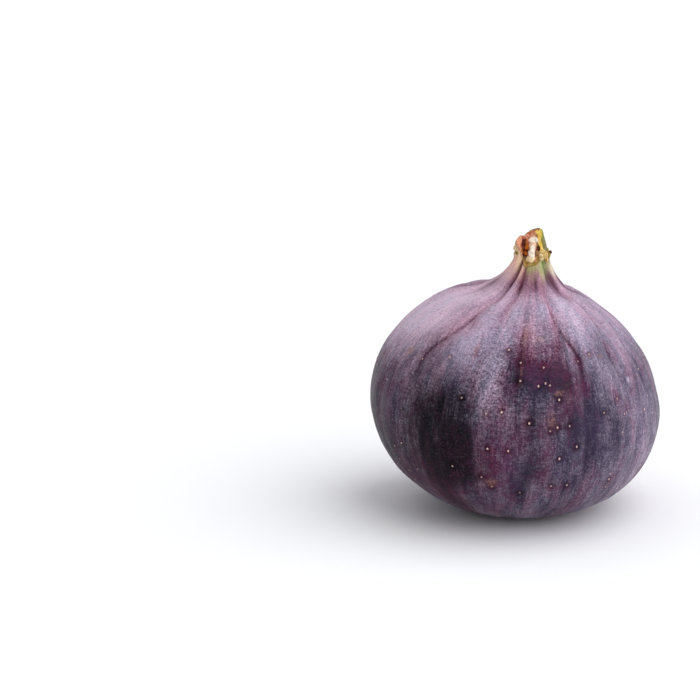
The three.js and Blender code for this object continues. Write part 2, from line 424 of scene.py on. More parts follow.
def closed_skin(rows, first, last):
    """The points of a closed skin over rows, and its faces: bands of quads, and a fan at each end."""
    count, columns = rows.shape[:2]
    points = np.concatenate([[first], rows.reshape(-1, 3), [last]])
    at = 1 + np.arange(count)[:, None] * columns + np.arange(columns)
    beside = np.roll(at, -1, axis=1)
    bands = np.stack([at[:-1], beside[:-1], beside[1:], at[1:]], axis=-1).reshape(-1, 4)
    low = np.stack([np.zeros(columns, int), beside[0], at[0]], axis=-1)
    high = np.stack([at[-1], beside[-1], np.full(columns, len(points) - 1)], axis=-1)
    return points, [bands, low, high]


def make_piece(name, points, faces, material, fields):
    """A smooth-shaded mesh of points in millimetres, with numbers or vectors for each named field."""
    mesh = bpy.data.meshes.new(name)
    points = (points * MM).reshape(-1, 3)
    mesh.from_pydata(points.tolist(), [], [face for part in faces for face in part.tolist()])
    mesh.shade_smooth()
    for name_of_field, values in fields.items():
        kind, part = ("FLOAT", "value") if values.ndim == 1 else ("FLOAT_VECTOR", "vector")
        attribute = mesh.attributes.new(name_of_field, kind, "POINT")
        attribute.data.foreach_set(part, values.astype(np.float32).ravel())
    mesh.materials.append(material)
    piece = bpy.data.objects.new(name, mesh)
    scene.collection.objects.link(piece)
    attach(piece, "root")
    return piece


# The skin runs from blue-black through plum to maroon, and it pales to green and cream on the neck. Over it
# lies the wax: blue or pink where it is thin, and white or rose where it is thick. In places the wax is laid
# on thicker as painted highlights and a painted reflection on the right rim.
BLUE_BLACK = (0.039, 0.027, 0.06, 1)
PLUM = (0.073, 0.024, 0.064, 1)
MAROON = (0.086, 0.017, 0.048, 1)
WINE = (0.26, 0.09, 0.12)  # the neck's colours, from its grooves to its ridges
DARK_WINE = (0.13, 0.045, 0.075)
BROWN_PINK = (0.32, 0.18, 0.17)
GROOVE_BROWN = (0.2, 0.1, 0.07)
GREY_GREEN = (0.41, 0.39, 0.18)
LEAF_GREEN = (0.28, 0.33, 0.13)
LIME_RIDGE = (0.5, 0.46, 0.19)
OLIVE_GREEN = (0.17, 0.17, 0.035)
CREAM_RIDGE = (0.83, 0.6, 0.35)
ROSE_RIDGE = (0.86, 0.52, 0.41)
LILAC_RIDGE = (0.64, 0.43, 0.46)
PALE_RIDGE = (0.76, 0.67, 0.48)
DARKEST = 0.05  # how much of its colour the darkest skin keeps
WAX_BLUE = (0.385, 0.315, 0.445, 1)
WAX_PINK = (0.5, 0.275, 0.39, 1)
WAX_WHITE = (0.65, 0.53, 0.67, 1)
WAX_ROSE = (0.69, 0.51, 0.64, 1)

# The wax grows towards the shoulders: the skin's own bloom, and also a painted highlight of the light from
# above.
WAX_HEIGHTS = [0, 6, 12, 26, 31, 33, 35, 37, 39, 43, 45.5, 48]
WAX_AND_HIGHLIGHT_AMOUNTS = [0.28, 0.22, 0.145, 0.13, 0.17, 0.26, 0.4, 0.56, 0.74, 0.85, 0.44, 0.06]
WAX_EDGE_WAVE = 3.5  # how far the wax's lower edge wanders
WAX_BROAD, WAX_THIN, WAX_SPOTS = 0.1, 0.05, 0.08  # how much each noise adds or takes
# Wax patches: those at -12, 38 and 45 degrees and at -72 on the left shoulder are painted highlights as well
# as wax, and those at 66 and 68 degrees paint the lower right rim's reflection. The negative ones low on the
# left, at -30, -62 and -28 degrees, take wax off the painted shadow there.
WAX_AND_LIGHT_PATCHES = [  # bearing, height, half-widths in degrees and in millimetres, and how much wax
    (-12, 30, 4.5, 6, 0.4), (24, 42.5, 6, 2.5, 0.25), (38, 39, 9, 4, 0.1), (45, 31, 9, 5, 0.35),
    (66, 17, 18, 14, 0.28), (-32, 34, 14, 3.5, 0.22), (-27, 39, 9, 4, 0.2), (-17, 45.8, 4, 1.8, -0.35),
    (-38, 45.2, 5, 1.6, -0.3), (8, 46.2, 6, 1.2, -0.3), (50, 45.6, 6, 1.8, -0.4),
    (-27, 45.2, 4, 2.2, 0.25), (32, 44.2, 6, 1.8, 0.2), (-33, 40.3, 2.5, 0.8, -0.35),
    (-44, 37, 4, 1.2, -0.2), (57, 29.2, 0.8, 0.35, 0.9), (25.5, 33, 2, 3.5, 0.25),
    (-22.5, 36.2, 1.3, 1.8, -0.35), (68, 22, 12, 12, 0.06), (38, 15, 14, 8, 0.04),
    (3, 40.5, 5, 2.5, 0.15), (0, 28, 5, 3.5, 0.12), (20, 41.5, 1.8, 3.5, -0.2),
    (-19, 42.3, 1.8, 2.5, -0.14), (0.5, 41.5, 1.6, 2.5, -0.14), (-72, 38, 16, 7, 0.5),
    (12, 33.5, 17, 5, -0.24), (19, 38, 5, 5, -0.15), (-8, 34, 5, 5, -0.1), (24, 38.5, 4, 2.5, -0.3),
    (30, 34.5, 3.5, 3, -0.25), (12, 25, 10, 7, 0.05), (0, 28, 6, 5, 0.08), (-30, 20, 15, 12, -0.15),
    (-62, 18, 26, 12, -0.12), (23.5, 31.5, 3.5, 2.5, -0.2), (7, 25, 8, 3, -0.07), (-9, 12.5, 5, 3, -0.07),
    (22, 19, 5, 3.5, -0.05), (-32, 34.5, 5, 2.5, -0.12), (63, 33, 8, 3, 0.1), (39, 34, 5, 2, 0.08),
    (-28, 7, 18, 6, -0.06),
]
DARK_LEVEL, DARK_STREAKY, DARK_SPOTS = 0.22, 0.22, 0.2  # the mean, and how much each noise adds
# The dark patches low on the left, from -25 to -64 degrees, are partly the skin's own dark and partly a
# painted shadow, as cast by a fruit standing beside it; the others are the skin's own tone.
DARK_AND_SHADOW_PATCHES = [
    (-32, 20, 14, 12, 0.7), (-34, 7, 18, 6, 0.24), (-25, 23, 6, 8, 0.4), (-38, 27, 10, 6, 0.3),
    (-3, 33, 6, 4, 0.2), (13, 32.5, 11, 5, 0.2), (-64, 19, 26, 14, 0.5), (24, 24, 7, 7, 0.1),
    (23.5, 31.5, 3.5, 2.5, 0.25), (7, 25, 8, 3, 0.1), (-12, 12, 6, 5, 0.2), (8, 15, 9, 6, 0.25),
]
RED_LEVEL, RED_STREAKY, RED_SPOTS = 0.38, 0.2, 0.18
# The negative red patches at -12, 39, 45 and 72 degrees turn painted highlights and the right rim's painted
# reflection bluer.
RED_PATCHES = [
    (-60, 40, 20, 5, 0.25), (-17, 45.5, 4, 2, 0.4), (-40, 44.8, 5, 1.2, 0.6), (8, 46, 5, 1.5, 0.4),
    (50, 45.5, 6, 2, 0.4), (-33, 40.3, 2.5, 0.8, 0.8), (-44, 37, 4, 1.2, 0.6), (-38, 41, 10, 3, 0.4),
    (8, 36, 11, 4, 0.3), (1, 40, 3, 3, 0.5), (-10, 15, 7, 7, 0.5), (14, 12, 6, 4, 0.3),
    (6, 22, 10, 8, 0.1), (42, 20, 18, 14, -0.4), (10, 29.5, 8, 2.5, -0.3), (20, 17, 7, 6, -0.3),
    (39, 40, 9, 4, -0.4), (72, 24, 12, 14, -0.3), (-22.5, 36.2, 1.3, 1.8, 0.5), (37, 42, 8, 3.5, -0.45),
    (11, 42.5, 4.5, 2, -0.35), (-9, 42, 4, 3, -0.35), (-28, 41.5, 5, 3.5, -0.3), (-31, 36, 9, 3, -0.35),
    (-14, 35.5, 6, 4, -0.25), (20, 41.5, 2.5, 3.5, 0.6), (-19, 42, 2, 2.5, 0.5), (45, 33, 10, 5, -0.4),
    (-12, 30, 5, 6, -0.3), (-28, 24, 12, 12, -0.2), (-38, 9, 18, 7, 0.35), (-36, 18, 9, 8, 0.25),
    (-22, 17, 5, 5, 0.2),
]
PALE_RISE, PINK_RISE, GREEN_RISE = (44.4, 3.2), (45.8, 1.6), (47.4, 1.6)  # from which height, over how much
PALE_WAVE, PALE_CREASE_LAG, GREEN_WAVE = 1.2, 0.9, 0.6
NECK_PATCH_WAVES = (2, 0.5)  # how far their edges wander, in degrees and millimetres
NECK_PATCH_STRENGTH = 1.3
NECK_PATCHES = [  # the same, with a colour for the amount
    (-52, 50.8, 24, 2, CREAM_RIDGE), (-68, 48.6, 22, 2, ROSE_RIDGE), (-80, 46.4, 30, 2.2, LILAC_RIDGE),
    (-36, 46.6, 7, 2.4, WINE), (-37, 49.2, 3.5, 2.2, GROOVE_BROWN), (-27, 48.3, 4, 2.2, ROSE_RIDGE),
    (-17, 46.8, 6, 2.4, WINE), (18, 46.2, 5, 1.6, WINE), (27, 49, 5, 2.2, LIME_RIDGE),
    (39, 49.2, 13, 2.8, LEAF_GREEN), (68, 47.8, 9, 1.7, PALE_RIDGE), (50, 46, 9, 2.2, DARK_WINE),
    (72, 53, 26, 3, OLIVE_GREEN), (130, 50.5, 26, 2.6, OLIVE_GREEN), (200, 49.5, 30, 3, CREAM_RIDGE),
    (235, 48, 20, 2.6, ROSE_RIDGE),
]
THICK_STREAKY = 0.4
# Thick wax is partly painted light: the patches at -72, -12 and 38 degrees are painted highlights, and the
# one at 72 degrees low down paints the right rim's reflection.
THICK_WAX_AND_LIGHT_PATCHES = [  # where the wax is thick and nearly white
    (-72, 41, 24, 8, 0.75), (-48, 45.5, 14, 2, 0.35), (-36, 42.5, 8, 3, 0.25), (38, 40.5, 7, 3, 0.36),
    (-10, 43, 15, 3, 0.2), (-28, 39, 9, 4, 0.12), (-53, 38.5, 12, 4, 0.15), (-57, 36.5, 8, 1.6, 0.2),
    (2, 40.5, 5, 3, 0.15), (-27, 45, 4, 2, 0.3), (32, 44, 6, 2, 0.3), (57, 29.2, 0.8, 0.35, 1.0),
    (36.5, 42, 6, 2.5, 0.25), (11.5, 42.6, 4, 1.5, 0.2), (-9, 42.3, 3.5, 2, 0.15), (70, 43, 20, 5, 0.25),
    (72, 13, 12, 7, 0.35), (-12, 33, 4, 5, 0.15),
]
SCUFF_BREAKS = 0.6
SCUFFS = [  # small dry marks
    (0.5, 39.3, 1.3, 1.6, 0.3), (1.0, 33, 0.5, 4, 0.18), (9, 38.5, 4, 0.4, 0.25),
    (18, 29.6, 1.6, 0.35, 0.5), (-9, 12, 2.2, 0.5, 0.5), (-23, 37, 1.2, 0.5, 0.4),
    (-58, 34.5, 1.6, 0.6, 0.6), (15, 24.6, 1.8, 1.2, 0.35), (44, 34.6, 1.4, 0.3, 0.6),
    (150, 30, 3.0, 0.5, 0.5), (214, 22, 1.5, 1.2, 0.5),
]
SCUFF_TAN = (0.33, 0.17, 0.12, 1)
GRAIN_LEVEL = 0.34
GRAINY_PATCHES = [  # where the grain and fine wrinkles show the most
    (4, 34, 26, 7, 0.5), (-12, 28, 8, 7, 0.35), (0, 22, 22, 12, 0.15), (-30, 20, 12, 12, -0.2),
    (-60, 41, 24, 6, -0.3), (70, 38, 20, 8, -0.2), (0, 46, 90, 2.5, -0.2), (10, 7, 70, 8, -0.14),
]
FRONT_PORES = [  # bearing and height of the largest; the skin round each is dark red
    (-7, 37), (0, 35), (11, 34), (1, 32), (14, 31), (12, 31.4), (18, 28.4), (-11, 26), (-5, 26.4), (6, 24.4),
    (22, 23.5), (17, 23.4), (14, 22.8), (25, 19.3), (-10, 19.3), (-2, 19), (18, 17.2), (-13, 13), (-9, 11),
    (16, 11.3), (23, 11.2), (3, 9.8), (38, 25), (46, 27), (-25, 14.8), (30, 34.7), (-34, 35), (9, 31),
    (37, 35.3), (-22, 28.5), (44, 11),
]
HALO = 0.75  # how wide the red ring round a pore is
RED_HALO, DARK_HALO, WAXLESS_HALO = 0.5, 0.3, 0.25
LOW_CREASE = 0.25  # how much of a crease shows below the waist
CREASE_RISE, SHOULDER_RISE, RED_NECK_RISE = (WAIST_Z, 12), (34, 4), (42.5, 2)
CREASE_LEVEL, CREASE_UNEVEN = 0.75, 0.5
# The creases are red and lose some wax, and they get painted shade, the shade that falls into them.
RED_CREASE, CREASE_SHADE, WAXLESS_CREASE, RED_NECK = 0.5, 0.3, 0.45, 0.5
CREASE_SHADE_LOSS = 0.8  # how much of its darkness a crease loses on the shoulders
THINNEST_WAX = 0.008
CYLINDER = 28.0  # the skin is unrolled onto a cylinder of this radius, for noise along the meridians


def paint(tint, weight, colour):
    """From the tint to the colour as the weight goes from 0 to 1."""
    tint = np.asarray(tint)
    return tint + (np.asarray(colour) - tint) * np.clip(weight, 0, 1)[..., None]


def patch_field(patches, bearing, z):
    """The sum of bell-shaped patches at a bearing and a height."""
    values = np.zeros(z.shape)
    for patch_bearing, patch_z, wide, high, amount in patches:
        values += amount * np.exp(-((turn(patch_bearing, bearing) / wide) ** 2) - ((z - patch_z) / high) ** 2)
    return values


def skin_fields(points, bearing, length):
    """What the skin's material reads at each point: the amounts of wax, dark, red, pale neck, thick wax, dry
    marks and grain, the place on the unrolled skin, and the neck's colour. An amount is a mean plus noise and
    patches, changed by the creases and by the rings round the pores. The wax and thick wax also hold painted
    highlights and a painted reflection, and the dark holds a painted shadow and painted shade in the creases."""
    z = points[..., 2]
    radius = np.hypot(points[..., 0] - axis_x(z), points[..., 1])
    sheet = around(bearing, CYLINDER, length)
    crease = groove_fields(bearing, z, radius)[1] * (LOW_CREASE + (1 - LOW_CREASE) * rising(z, *CREASE_RISE))
    crease *= CREASE_LEVEL + CREASE_UNEVEN * cloud(sheet, (3, 3, 5), 19)
    broad = cloud(sheet, (4.5, 4.5, 20), 11)
    thin = cloud(sheet, (1.3, 1.3, 9), 12)
    spots = cloud(points, 5, 13)

    wave = WAX_EDGE_WAVE * cloud(sheet, (7, 7, 14), 14)
    wax_and_painted_light = np.interp(z + wave, WAX_HEIGHTS, WAX_AND_HIGHLIGHT_AMOUNTS) + WAX_BROAD * broad + WAX_THIN * thin
    wax_and_painted_light += WAX_SPOTS * spots + patch_field(WAX_AND_LIGHT_PATCHES, bearing, z) - WAXLESS_CREASE * crease
    wax_and_painted_light = np.maximum(wax_and_painted_light, THINNEST_WAX)
    dark = DARK_LEVEL + DARK_STREAKY * cloud(sheet, (3, 3, 16), 15)
    dark += DARK_SPOTS * cloud(points, 8, 16) + patch_field(DARK_AND_SHADOW_PATCHES, bearing, z)
    # painted shade in the creases, less of it on the shoulders
    dark += CREASE_SHADE * crease * (1 - CREASE_SHADE_LOSS * rising(z, *SHOULDER_RISE))
    red = RED_LEVEL + RED_STREAKY * cloud(sheet, (2.6, 2.6, 10), 17)
    red += RED_SPOTS * cloud(points, 6, 18) + patch_field(RED_PATCHES, bearing, z)
    red += RED_CREASE * crease + RED_NECK * rising(z, *RED_NECK_RISE)

    pores = skin_points(*np.array([(b, share_at(h)) for b, h in FRONT_PORES]).T)
    away = np.min([np.linalg.norm(points - pore, axis=-1) for pore in pores], axis=0)
    halo = np.exp(-((away / HALO) ** 2))
    red += RED_HALO * halo
    dark += DARK_HALO * halo
    wax_and_painted_light -= WAXLESS_HALO * halo

    pale = rising(z + PALE_WAVE * broad - PALE_CREASE_LAG * crease, *PALE_RISE)
    neck = paint(WINE, rising(z, *PINK_RISE), BROWN_PINK)
    neck = paint(neck, rising(z + GREEN_WAVE * thin, *GREEN_RISE), GREY_GREEN)
    aside, above = NECK_PATCH_WAVES
    for *patch, colour in NECK_PATCHES:
        weight = patch_field([(*patch, NECK_PATCH_STRENGTH)], bearing + aside * thin, z + above * broad)
        neck = paint(neck, weight, colour)

    thick = patch_field(THICK_WAX_AND_LIGHT_PATCHES, bearing, z) * (1 + THICK_STREAKY * broad)
    scuff = patch_field(SCUFFS, bearing, z) * (1 + SCUFF_BREAKS * spots)
    grainy = GRAIN_LEVEL + patch_field(GRAINY_PATCHES, bearing, z)
    amounts = dict(wax_and_painted_light=wax_and_painted_light, dark=dark, red=red, pale=pale, thick=thick, scuff=scuff, grainy=grainy)
    amounts = {name: np.clip(values, 0, 1) for name, values in amounts.items()}
    return {**amounts, "sheet": sheet, "neck": neck}


def node(tree, kind, inputs, **settings):
    """Adds a node. Each input is a plain value, or another node's output to join to it."""
    made = tree.nodes.new(kind)
    for name, value in settings.items():
        setattr(made, name, value)
    for name, value in inputs.items():
        if isinstance(value, bpy.types.NodeSocket):
            tree.links.new(value, made.inputs[name])
        else:
            made.inputs[name].default_value = value
    return made


def field(tree, name, output="Fac"):
    """The mesh field of that name."""
    return node(tree, "ShaderNodeAttribute", {}, attribute_name=name).outputs[output]


def blend(tree, factor, first, second, kind="MIX"):
    """From the first colour to the second as the factor goes from 0 to 1."""
    inputs = {0: factor, 6: first, 7: second}
    return node(tree, "ShaderNodeMix", inputs, data_type="RGBA", blend_type=kind).outputs[2]


def grain(tree, vector, size, detail, roughness, twist=0):
    """Noise from 0 to 1 round a half. The size is one length, or three where the grain is drawn out."""
    if not isinstance(size, tuple):
        size = (size, size, size)
    fine = tuple(1 / length for length in size)
    scaled = node(tree, "ShaderNodeVectorMath", {0: vector, 1: fine}, operation="MULTIPLY").outputs[0]
    inputs = {"Vector": scaled, "Scale": 1, "Detail": detail, "Roughness": roughness, "Distortion": twist}
    return node(tree, "ShaderNodeTexNoise", inputs).outputs["Fac"]


def spread(tree, value, low, high, to_low=0, to_high=1):
    """Carries the stretch from low to high onto another in an S-curve."""
    inputs = {"Value": value, "From Min": low, "From Max": high, "To Min": to_low, "To Max": to_high}
    return node(tree, "ShaderNodeMapRange", inputs, interpolation_type="SMOOTHSTEP").outputs["Result"]


def maths(tree, operation, first, second, clamp=True):
    """The sum, difference, product or power of two values, kept between 0 and 1 unless clamp is off."""
    made = node(tree, "ShaderNodeMath", {0: first, 1: second}, operation=operation, use_clamp=clamp)
    return made.outputs[0]


def total(tree, *values):
    """All the values together, kept between 0 and 1 at the end."""
    result = values[0]
    for value in values[1:]:
        result = maths(tree, "ADD", result, value, clamp=value is values[-1])
    return result


def stirred(tree, base, *layers):
    """The base plus noises, each carried from 0.3..0.7, its usual range, onto plus or minus its amount."""
    swings = [spread(tree, noise, 0.3, 0.7, -amount, amount) for noise, amount in layers]
    return total(tree, base, *swings)


FIBRE_GRAIN = (0.4, 0.4, 3.2)  # sizes of the noise on the unrolled skin, in millimetres
BAND_GRAIN = (1.8, 1.8, 9)
WRINKLE_GRAIN = (1.5, 1.5, 0.36)
MOTTLE_GRAIN, STIPPLE_GRAIN, SPECK_GRAIN, PIT_GRAIN = 0.0028, 0.0004, 0.00036, 0.00042  # in space, in metres
WORN_AWAY = 0.58  # how much thin wax the noise adds or takes
FLECK_WAX = 0.11
BUMP_DEPTH = 0.00012


def skin_material():
    """Thin purple skin under a film of wax. Drawn-out noise gives the fibres that run from stalk to eye, and
    squeezed noise the fine wrinkles across them. They break up every field, so that no edge is smooth."""
    material, shader = new_material("fig_skin")
    tree = material.node_tree
    place = tree.nodes.new("ShaderNodeTexCoord").outputs["Object"]
    sheet = field(tree, "sheet", "Vector")
    fibres = grain(tree, sheet, FIBRE_GRAIN, 3, 0.7, 1.0)
    bands = grain(tree, sheet, BAND_GRAIN, 3, 0.55)
    wrinkles = grain(tree, sheet, WRINKLE_GRAIN, 2, 0.5, 1.0)
    mottle = grain(tree, place, MOTTLE_GRAIN, 5, 0.65)
    stipple = grain(tree, place, STIPPLE_GRAIN, 3, 0.75)
    specks = grain(tree, place, SPECK_GRAIN, 1, 0.5)
    pits = grain(tree, place, PIT_GRAIN, 1, 0.5, 0.6)

    layers = [(fibres, 0.115), (bands, 0.08), (wrinkles, 0.05), (mottle, 0.12), (stipple, 0.09)]
    worn = stirred(tree, 0.455, *layers)
    wax_and_painted_light = field(tree, "wax_and_painted_light")
    thin = maths(tree, "MULTIPLY", maths(tree, "POWER", wax_and_painted_light, 0.6), maths(tree, "SUBTRACT", 1.0, wax_and_painted_light))
    worn = spread(tree, worn, 0.2, 0.8, -WORN_AWAY, WORN_AWAY)
    worn = maths(tree, "MULTIPLY", thin, worn, clamp=False)
    flecks = spread(tree, specks, 0.56, 0.68, 0, FLECK_WAX)
    flecks = maths(tree, "MULTIPLY", flecks, spread(tree, wax_and_painted_light, 0, 0.12, 0.35, 1))
    wax_and_painted_light = total(tree, wax_and_painted_light, worn, flecks)
    wax_and_painted_light = maths(tree, "MULTIPLY", wax_and_painted_light, spread(tree, pits, 0.3, 0.44, 0.62, 1))

    dark = stirred(tree, field(tree, "dark"), (fibres, 0.2), (mottle, 0.25), (stipple, 0.35))
    red = stirred(tree, field(tree, "red"), (bands, 0.27), (mottle, -0.2))

    colour = blend(tree, spread(tree, red, 0, 0.5), BLUE_BLACK, PLUM)
    colour = blend(tree, spread(tree, red, 0.5, 1), colour, MAROON)
    # Darkening towards black by the dark amount: the skin's own dark, with a painted shadow low on the left
    # and painted shade in the creases.
    shade = maths(tree, "MULTIPLY", dark, 1 - DARKEST)
    colour = blend(tree, shade, colour, (0, 0, 0, 1))
    colour = blend(tree, field(tree, "pale"), colour, field(tree, "neck", "Color"))
    thick = total(
        tree,
        field(tree, "thick"),
        spread(tree, bands, 0.3, 0.7, -0.14, 0.14),
        spread(tree, specks, 0.56, 0.68, 0, 0.25),
    )
    # The wax film, where it is laid on thicker, also paints highlights and the right rim's reflection.
    thin_film = blend(tree, red, WAX_BLUE, WAX_PINK)
    thick_film = blend(tree, red, WAX_WHITE, WAX_ROSE)
    colour = blend(tree, wax_and_painted_light, colour, blend(tree, thick, thin_film, thick_film))
    scuff = maths(tree, "MULTIPLY", field(tree, "scuff"), spread(tree, stipple, 0.4, 0.6, 0.4, 1.6))
    colour = blend(tree, scuff, colour, SCUFF_TAN)

    grainy = field(tree, "grainy")
    colour = blend(tree, grainy, colour, spread(tree, stipple, 0.38, 0.62, 0.55, 1.45), "MULTIPLY")
    colour = blend(tree, grainy, colour, spread(tree, wrinkles, 0.35, 0.65, 0.84, 1.16), "MULTIPLY")
    colour = blend(tree, 1.0, colour, spread(tree, fibres, 0.35, 0.65, 0.93, 1.08), "MULTIPLY")
    tree.links.new(colour, shader.inputs["Base Color"])

    tree.links.new(spread(tree, wax_and_painted_light, 0, 0.6, 0.4, 0.62), shader.inputs["Roughness"])
    shader.inputs["Specular IOR Level"].default_value = 0.06
    tree.links.new(spread(tree, wax_and_painted_light, 0, 0.5, 0.01, 0.32), shader.inputs["Sheen Weight"])
    shader.inputs["Sheen Roughness"].default_value = 0.35
    shader.inputs["Sheen Tint"].default_value = (0.88, 0.84, 0.98, 1)
    layers = [(fibres, 0.45), (wrinkles, 0.15), (stipple, 0.3)]
    height = total(tree, *(spread(tree, noise, 0.2, 0.8, 0, amount) for noise, amount in layers))
    bump = node(tree, "ShaderNodeBump", {"Strength": 0.5, "Distance": BUMP_DEPTH, "Height": height})
    tree.links.new(bump.outputs["Normal"], shader.inputs["Normal"])
    return material


def make_body():
    """The skin from the eye to the cut, closed at both ends, in place of the plain solid."""
    rows, bearing = body_grid()
    eye_middle = eye_points(np.zeros(1), np.zeros(1))[0]
    points, faces = closed_skin(rows, eye_middle, CUT_MIDDLE - UNDER_CRUST)
    steps = np.linalg.norm(np.diff(rows, axis=0), axis=-1)
    length = FOOT_INNER / EYE_ROWS + np.concatenate([np.zeros((1, COLUMNS)), np.cumsum(steps, axis=0)])
    bearing = np.concatenate([[0], bearing.ravel(), [0]])
    length = np.concatenate([[0], length.ravel(), [length.max()]])
    fields = skin_fields(points, bearing, length)
    body = make_piece("fig_skin", points, faces, skin_material(), fields)
    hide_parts("fig")


make_body()


# ---- The stalk's cut ----
# The stalk was torn off, so its end is open at the front. It shows a strip of white pith, rotten and brown
# along its left, inside a ring of yellow and olive rind. Dried sap makes a rough red-brown crust on top.

CUT_COLUMNS = 180
FACE_ROWS = 34
LIP = [(0.08, 0.08), (0.22, 0.1), (0.34, 0.08), (0.42, -0.15)]  # how far each row drops and stands out
LIP_UNEVEN = 0.6
TORN_BEARING, TORN_WIDTH, TORN_RIND = 40, 9, 3.5  # where the lip is torn, how widely, and how deep in drops
LIP_COLOUR_RISE = (0.93, 0.06)  # from which share of the way to the rim its colours set in
CRUST_THICKNESS = 0.6
UNDERSIDE_STEP = 6  # face rows for each row of the underside
CRUST_LUMPS = [(1.0, 0.16, 21), (0.42, 0.12, 22)]  # size, height and seed

TAN = (0.5, 0.27, 0.11)
RED_CRUST = (0.48, 0.13, 0.05)
DARK_CRUST = (0.16, 0.035, 0.02)
SALMON = (0.69, 0.31, 0.19)
YELLOW = (0.97, 0.66, 0.13)
OLIVE = (0.26, 0.28, 0.06)
GOLD = (0.33, 0.19, 0.035)
ROT = (0.085, 0.014, 0.007)
AMBER = (0.6, 0.16, 0.01)
PITH = (0.94, 0.81, 0.67)
BLUSH = (0.92, 0.57, 0.36)
CREAM = (0.88, 0.66, 0.38)
CUT_PATCHES = [  # across, height, half-width and half-height, colour, and how far it stands out
    (4.7, 54.2, 0.45, 2.6, YELLOW, 0), (5.35, 54.0, 0.35, 2.8, OLIVE, 0),
    (3.9, 55.0, 0.5, 0.35, YELLOW, 0.05), (0.75, 53.4, 0.9, 1.2, SALMON, 0.15),
    (1.8, 52.6, 0.95, 2.3, RED_CRUST, -0.1), (0.8, 51.2, 0.5, 0.9, GOLD, 0),
    (1.5, 53.2, 0.5, 0.9, ROT, -0.25), (1.65, 51.6, 0.42, 1.5, ROT, -0.25),
    (2.0, 50.4, 0.35, 0.8, ROT, -0.15), (2.15, 52.3, 0.28, 0.55, AMBER, -0.05),
    (1.9, 51.2, 0.16, 0.28, AMBER, -0.05), (1.5, 52.3, 0.2, 0.35, DARK_CRUST, 0.05),
    (1.35, 51.4, 0.15, 0.3, RED_CRUST, 0.05), (2.0, 53.3, 0.25, 0.25, RED_CRUST, 0.05),
    (1.55, 50.45, 0.36, 0.6, ROT, -0.15), (0.95, 50.6, 0.25, 0.7, GOLD, 0), (2.5, 49.8, 1.3, 0.5, GOLD, 0),
    (2.1, 51.8, 0.16, 0.16, ROT, -0.1), (1.75, 52.6, 0.2, 0.3, ROT, -0.1), (4.3, 52.3, 0.3, 0.6, ROT, -0.2),
    (4.25, 50.5, 0.35, 0.5, GOLD, -0.1), (2.6, 50.35, 0.85, 0.5, CREAM, 0.1),
    (3.15, 52.8, 0.7, 0.6, BLUSH, 0.1), (3.2, 53.65, 0.95, 0.6, PITH, 0.15),
    (3.25, 52.1, 0.5, 0.7, PITH, 0.2), (3.0, 51.4, 0.56, 1.0, PITH, 0.2),
    (2.4, 54.7, 0.4, 0.25, DARK_CRUST, 0), (3.3, 54.85, 0.6, 0.22, SALMON, 0.05),
    (1.9, 54.3, 0.5, 0.35, SALMON, 0.15),
]
PATCH_EDGE = 0.45  # softness of the patches' edges, in their sizes
PATCH_RAGGED = 0.35
PATCH_BACK_Y = 1  # they reach back to here
DEEPEST_PIT = 0.4
RED_CRUST_RISE = (53.6, 0.8)
SALMON_STRENGTH = 0.8
LIP_COLOURS = [  # bearing where it starts, onset, bearing where it ends, fading, strength, colour
    (48, 8, 300, 40, 1, OLIVE), (26, 8, 54, 8, 1, YELLOW), (300, 20, 360, 1, 0.15, CREAM),
    (270, 15, 318, 12, 1, SALMON),
]


def unit(vectors):
    """The vectors divided by their lengths."""
    return vectors / np.linalg.norm(vectors, axis=-1, keepdims=True)


def normals_of(rows):
    """Unit normals of a grid that closes on itself sideways: the cross product of its two slopes."""
    down = np.gradient(rows, axis=0)
    return unit(np.cross(down, np.roll(rows, -1, axis=1) - np.roll(rows, 1, axis=1)))


def lumps(points, layers):
    """The sum of several layers of smooth random lumps."""
    return sum(height * cloud(points, size, seed) for size, height, seed in layers)


def blotches(points, size, seed, contrast=2.5, level=-0.2):
    """Soft-edged blotches from 0 to 1: an S-curve of smooth noise times the contrast plus the level."""
    return smooth(cloud(points, size, seed) * contrast + level)


def cut_face(bearing, share):
    """The crust's upper side with its colours: the cut's face, raised along its normals by lumps and patches.

    A patch is an ellipse seen from the front, with a ragged and softened edge.
    """
    plain = cut_points(bearing, share)
    ragged = PATCH_RAGGED * cloud(plain, 0.5, 23)
    raised = lumps(plain, CRUST_LUMPS)
    tint = paint(TAN, rising(plain[..., 2], *RED_CRUST_RISE), RED_CRUST)
    tint = paint(tint, blotches(plain, 0.6, 24), DARK_CRUST)
    tint = paint(tint, SALMON_STRENGTH * blotches(plain, 0.5, 25), SALMON)
    for x, z, wide, high, colour, out in CUT_PATCHES:
        away = np.hypot((plain[..., 0] - x) / wide, (plain[..., 2] - z) / high) + ragged
        weight = smooth((1 + PATCH_EDGE / 2 - away) / PATCH_EDGE) * (plain[..., 1] < PATCH_BACK_Y)
        tint = paint(tint, weight, colour)
        raised += out * weight
    raised = np.maximum(raised, -DEEPEST_PIT)
    return plain + normals_of(plain) * raised[..., None], tint


def lip_row(bearing, drop, out):
    """A row round the outside of the stalk, at a drop below the rim and a little out from the skin.

    The drop grows in a bell round one bearing, where the rind is torn off further down.
    """
    torn = 1 + TORN_RIND * np.exp(-(((bearing - TORN_BEARING) / TORN_WIDTH) ** 2))
    skin = skin_points(bearing, share_at(rim_z(bearing) - drop * torn))
    uneven = out * (1 + LIP_UNEVEN * cloud(skin, 0.6, 26))
    return skin + around(bearing, uneven, 0)


def lip_tint(bearing):
    """The rind's edge: golden brown in front, yellow and olive round the right, and salmon on the left."""
    tint = GOLD
    for start, onset, end, fading, strength, colour in LIP_COLOURS:
        weight = rising(bearing, start, onset) * smooth((end - bearing) / fading)
        tint = paint(tint, strength * weight, colour)
    return tint


